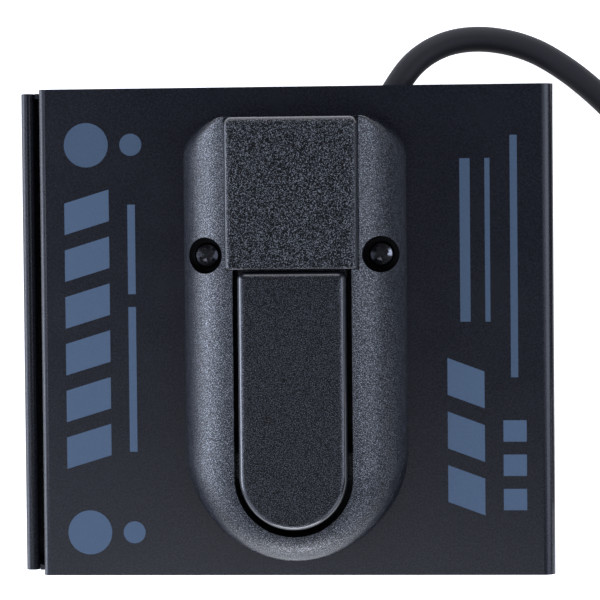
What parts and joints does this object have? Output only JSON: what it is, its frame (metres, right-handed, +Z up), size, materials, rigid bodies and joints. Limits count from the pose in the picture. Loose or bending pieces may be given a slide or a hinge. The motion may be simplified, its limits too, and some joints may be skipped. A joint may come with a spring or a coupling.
{
  "type": "foot pedal switch",
  "caption": "Flat foot switch: a sprung round-nosed pedal in a moulded housing on a folded steel box with rubber feet, a micro switch inside, and a coiled cord with a jack plug.",
  "frame": {"origin": "on the ground under the middle of the steel box, between its four feet", "axes": "+Z up, +Y to the rear where the cord comes out, -Y the way the pedal points, +X to the right as seen from above with the pedal pointing down"},
  "size_m": [0.2373, 0.1454, 0.0325],
  "materials": {
    "steel_paint": "satin black powder coat",
    "foot_rubber": "matte",
    "zinc": "zinc plated",
    "housing_plastic": "fine texture",
    "block_plastic": "coarse texture",
    "screw_steel": "black oxide",
    "pin_steel": "ground steel",
    "pedal_plastic": "fine texture",
    "case_plastic": "plain moulded",
    "spring_steel": "drawn wire",
    "stop_rubber": "matte",
    "switch_plastic": "plain moulded",
    "plunger_plastic": "smooth",
    "terminal_brass": "plain",
    "gland_rubber": "matte",
    "clamp_plastic": "plain nylon",
    "wire_jacket": "smooth",
    "cord_jacket": "soft matte",
    "tie_plastic": "matte",
    "plug_plastic": "matte moulded",
    "plug_chrome": "nickel plated"
  },
  "bodies": {
    "base": {"top_cover": "steel_paint", "base_pan": "steel_paint", "rubber_feet": "foot_rubber", "cover_screws": "zinc", "pedal_housing": "housing_plastic", "heel_cover": "block_plastic", "housing_screws": "screw_steel", "pivot_pin": "pin_steel", "lower_case": "case_plastic", "case_screws": "zinc", "return_spring": "spring_steel", "bump_stop": "stop_rubber", "switch_body": "switch_plastic", "switch_terminals": "terminal_brass", "switch_screws": "zinc", "cord_gland": "gland_rubber", "clamp_base": "clamp_plastic", "clamp_strap": "clamp_plastic", "clamp_screws": "zinc", "signal_wires": "wire_jacket", "cord_lead": "cord_jacket", "cord_coil": "cord_jacket", "coil_tie": "tie_plastic", "cord_tail": "cord_jacket", "plug_handle": "plug_plastic", "plug_sleeve": "plug_chrome", "plug_insulator": "plug_plastic", "plug_tip": "plug_chrome"},
    "pedal": {"pedal_lever": "pedal_plastic"},
    "plunger": {"switch_plunger": "plunger_plastic"}
  },
  "joints": [
    {"name": "pedal_hinge", "type": "hinge", "parent": "base", "child": "pedal", "pos_m": [0.00245, 0.03, 0.024], "axis": [1, 0, 0], "range_deg": [0, 6], "stiffness_Nm_per_rad": 6, "springref_deg": -6.3, "deforming": ["return_spring"]},
    {"name": "switch_travel", "type": "slide", "parent": "base", "child": "plunger", "axis": [0, 0, -1], "range_m": [0, 0.0014]}
  ],
  "couplings": [
    {"joint": "switch_travel", "follows": "pedal_hinge", "m_per_rad": 0.013}
  ]
}
